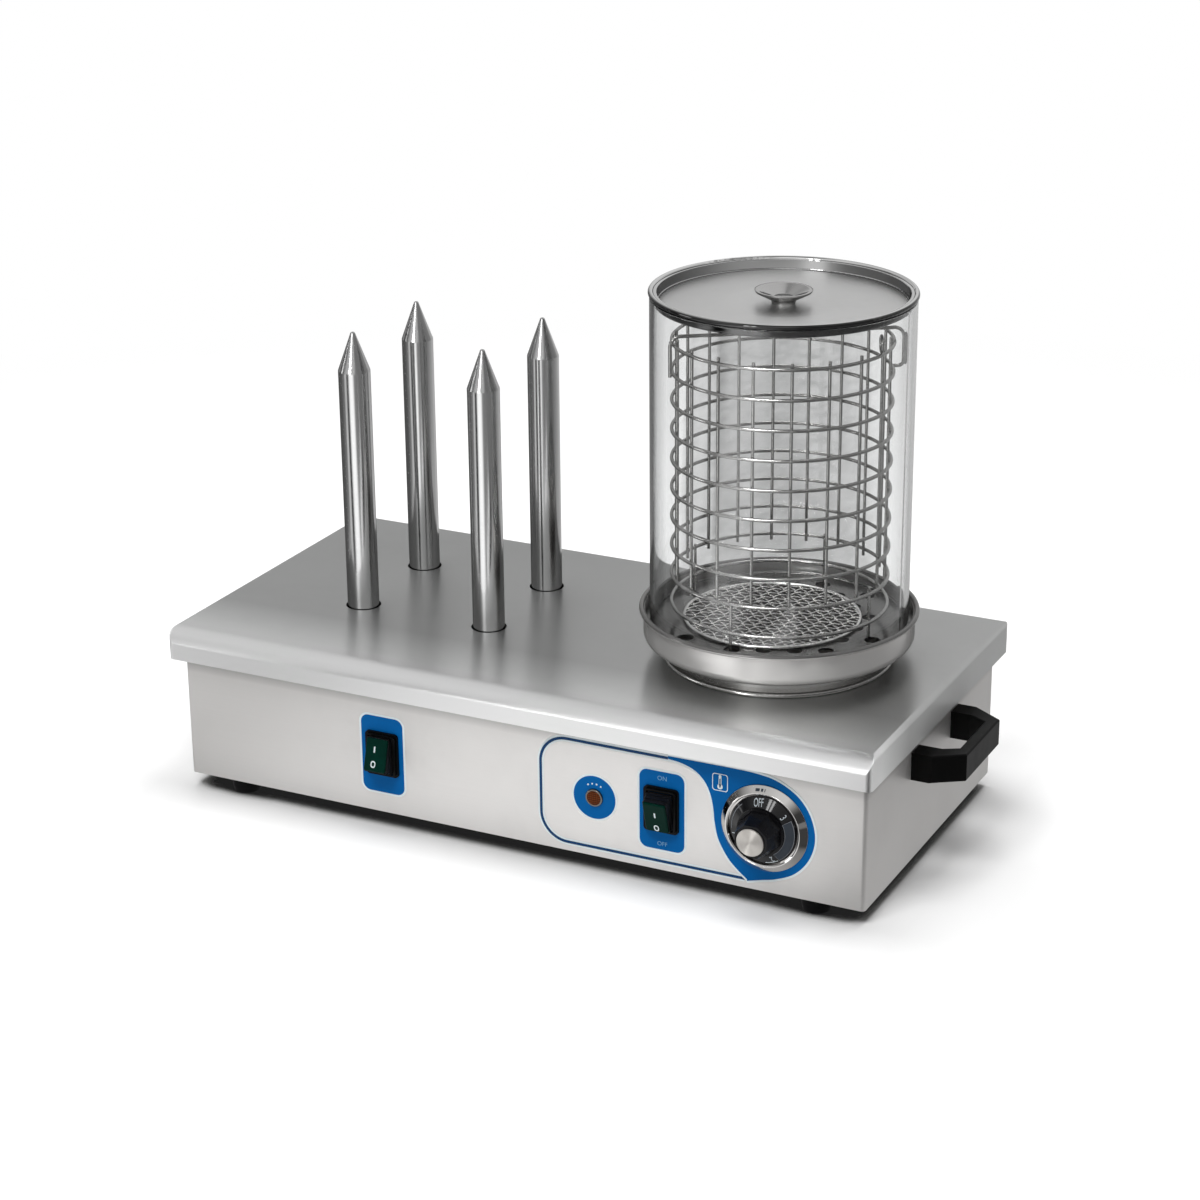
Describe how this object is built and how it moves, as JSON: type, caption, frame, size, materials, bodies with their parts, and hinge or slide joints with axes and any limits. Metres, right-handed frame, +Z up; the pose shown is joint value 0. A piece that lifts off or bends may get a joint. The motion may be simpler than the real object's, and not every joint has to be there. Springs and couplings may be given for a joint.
{
  "type": "hot dog spike machine",
  "caption": "Countertop bun warmer with upright heated spikes and a glass steamer with wire basket, pan and lid, rocker switches and a thermostat dial.",
  "frame": {"origin": "on the table under the centre of the whole machine's bounding box", "axes": "+X to the user's right, +Y to the back, +Z up"},
  "size_m": [0.598, 0.2856, 0.3896],
  "materials": {
    "casing_steel": "fine satin sheet",
    "cover_steel": "soft satin work top",
    "satin_steel": "spun satin",
    "spike_steel": "turned satin",
    "polished_steel": "polished",
    "wire_steel": "bright drawn wire",
    "inner_steel": "plain sheet",
    "heater_steel": "annealed",
    "fastener_steel": "plated",
    "copper": "drawn tube",
    "bright_chrome": "mirror plated",
    "cap_aluminium": "spun",
    "black_plastic": "fine grain",
    "black_gloss": "gloss",
    "inner_plastic": "phenolic",
    "black_rubber_boot": "soft sheen",
    "foot_rubber": "matt",
    "green_window": "translucent green",
    "amber_lens": "translucent amber",
    "clear_glass": "clear"
  },
  "bodies": {
    "chassis": {"casing_shell": "casing_steel", "base_plate": "casing_steel", "top_cover": "cover_steel", "foot_front_left": "foot_rubber", "foot_front_right": "foot_rubber", "foot_rear_left": "foot_rubber", "foot_rear_right": "foot_rubber", "foot_screws": "fastener_steel", "base_screws": "fastener_steel", "cover_nuts": "fastener_steel", "side_handle_left": "black_plastic", "side_handle_right": "black_plastic", "handle_screws": "fastener_steel", "spike_front_left": "spike_steel", "spike_front_right": "spike_steel", "spike_rear_left": "spike_steel", "spike_rear_right": "spike_steel", "spike_bracket": "inner_steel", "cartridge_heaters": "heater_steel", "spike_nuts": "fastener_steel", "boiler_bowl": "satin_steel", "boiler_collar": "satin_steel", "boiler_clips": "inner_steel", "boiler_heater": "heater_steel", "heater_clamp_plate": "inner_steel", "heater_nut": "fastener_steel", "safety_cutout": "inner_plastic", "thermostat_body": "inner_plastic", "thermostat_bulb": "copper", "thermostat_screws": "fastener_steel", "dial_bezel": "bright_chrome", "pilot_lamp_body": "bright_chrome", "pilot_lens": "amber_lens", "switch_left": "black_plastic", "switch_right": "black_plastic", "terminal_block": "inner_plastic", "power_inlet": "black_plastic", "inlet_pins": "fastener_steel", "inlet_screws": "fastener_steel", "earth_stud": "fastener_steel"},
    "thermostat_knob": {"thermostat_shaft": "fastener_steel", "dial_skirt": "black_gloss", "knob_grip": "black_gloss", "knob_cap": "cap_aluminium"},
    "spike_switch": {"rocker_left": "black_rubber_boot", "rocker_window_left": "green_window"},
    "steamer_switch": {"rocker_right": "black_rubber_boot", "rocker_window_right": "green_window"},
    "pan": {"steam_pan": "satin_steel", "perforated_plate": "satin_steel", "mesh_disc": "wire_steel"},
    "glass": {"glass_cylinder": "clear_glass"},
    "lid": {"lid_dish": "polished_steel", "lid_knob": "polished_steel", "lid_screw": "fastener_steel"},
    "basket": {"basket_rings": "wire_steel", "basket_uprights": "wire_steel", "basket_bail": "wire_steel"}
  },
  "joints": [
    {"name": "thermostat_turn", "type": "hinge", "parent": "chassis", "child": "thermostat_knob", "pos_m": [0.192, -0.1167, 0.058], "axis": [0, 1, 0], "range_deg": [0, 280]},
    {"name": "spike_switch_rock", "type": "hinge", "parent": "chassis", "child": "spike_switch", "pos_m": [-0.101, -0.1187, 0.0565], "axis": [1, 0, 0], "range_deg": [0, 32]},
    {"name": "steamer_switch_rock", "type": "hinge", "parent": "chassis", "child": "steamer_switch", "pos_m": [0.1162, -0.1187, 0.0565], "axis": [1, 0, 0], "range_deg": [-32, 0]},
    {"name": "pan_lift", "type": "slide", "parent": "chassis", "child": "pan", "axis": [0, 0, 1], "range_m": [0, 0.06]},
    {"name": "glass_lift", "type": "slide", "parent": "pan", "child": "glass", "axis": [0, 0, 1], "range_m": [0, 0.24]},
    {"name": "lid_lift", "type": "slide", "parent": "glass", "child": "lid", "axis": [0, 0, 1], "range_m": [0, 0.4]},
    {"name": "basket_lift", "type": "slide", "parent": "pan", "child": "basket", "axis": [0, 0, 1], "range_m": [0, 0.26]}
  ],
  "couplings": [
    {"joint": "basket_lift", "follows": "lid_lift", "ratio": 0.65}
  ]
}
